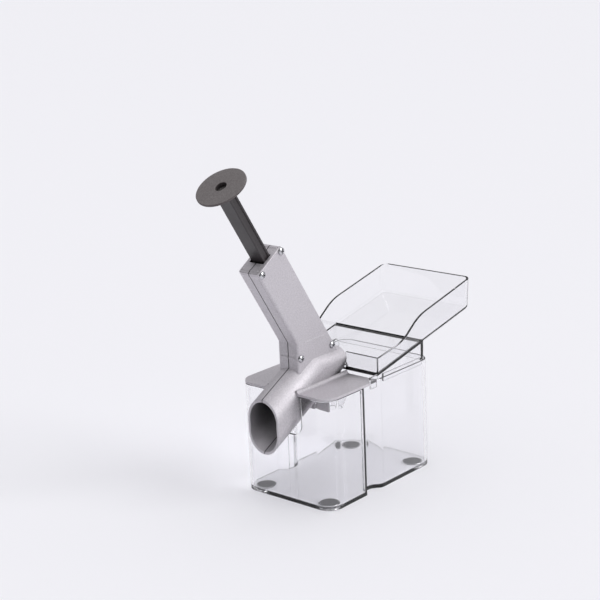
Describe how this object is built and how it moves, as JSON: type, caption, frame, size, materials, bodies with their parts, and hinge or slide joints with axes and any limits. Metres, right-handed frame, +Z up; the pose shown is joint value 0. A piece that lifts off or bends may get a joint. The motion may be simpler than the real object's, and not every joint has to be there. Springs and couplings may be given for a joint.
{
  "type": "cherry pitter",
  "caption": "Countertop cherry pitter: clear container, cast press with tunnel and outlet chute, sloping clear hopper tray and a leaning sprung push plunger with a round knob.",
  "frame": {"origin": "middle of the container's footprint, on the surface that the feet stand on", "axes": "+Z up, +X from the outlet chute towards the hopper tray, +Y across to the far side"},
  "size_m": [0.2564, 0.09, 0.2668],
  "materials": {
    "clear_plastic": "clear, polished",
    "foot_rubber": "soft, matt",
    "cast_aluminium": "satin, finely blasted",
    "screw_steel": "bright",
    "guide_plastic": "plain",
    "washer_rubber": "matt",
    "bar_black": "satin black",
    "knob_black": "satin black, turned top",
    "needle_steel": "polished",
    "spring_steel": "drawn wire"
  },
  "bodies": {
    "base": {"container": "clear_plastic", "foot_front_near": "foot_rubber", "foot_front_far": "foot_rubber", "foot_back_near": "foot_rubber", "foot_back_far": "foot_rubber"},
    "press": {"shell_near": "cast_aluminium", "shell_far": "cast_aluminium", "screw_top_front": "screw_steel", "screw_top_back": "screw_steel", "screw_low_back": "screw_steel", "screw_toe": "screw_steel", "needle_guide": "guide_plastic", "star_washer": "washer_rubber", "pit_funnel": "clear_plastic", "return_spring": "spring_steel"},
    "plunger": {"plunger_bar": "bar_black", "knob": "knob_black", "needle": "needle_steel", "needle_pin": "needle_steel", "spring_washer": "needle_steel"},
    "tray": {"hopper_tray": "clear_plastic"}
  },
  "joints": [
    {"name": "press_lift", "type": "slide", "parent": "base", "child": "press", "axis": [0, 0, 1], "range_m": [0, 0.045]},
    {"name": "plunger_push", "type": "slide", "parent": "press", "child": "plunger", "axis": [0.5329, 0, -0.8462], "range_m": [0, 0.05], "stiffness_N_per_m": 250, "springref_m": -0.012, "deforming": ["return_spring"]},
    {"name": "tray_lift", "type": "slide", "parent": "press", "child": "tray", "axis": [0, 0, 1], "range_m": [0, 0.04]}
  ]
}
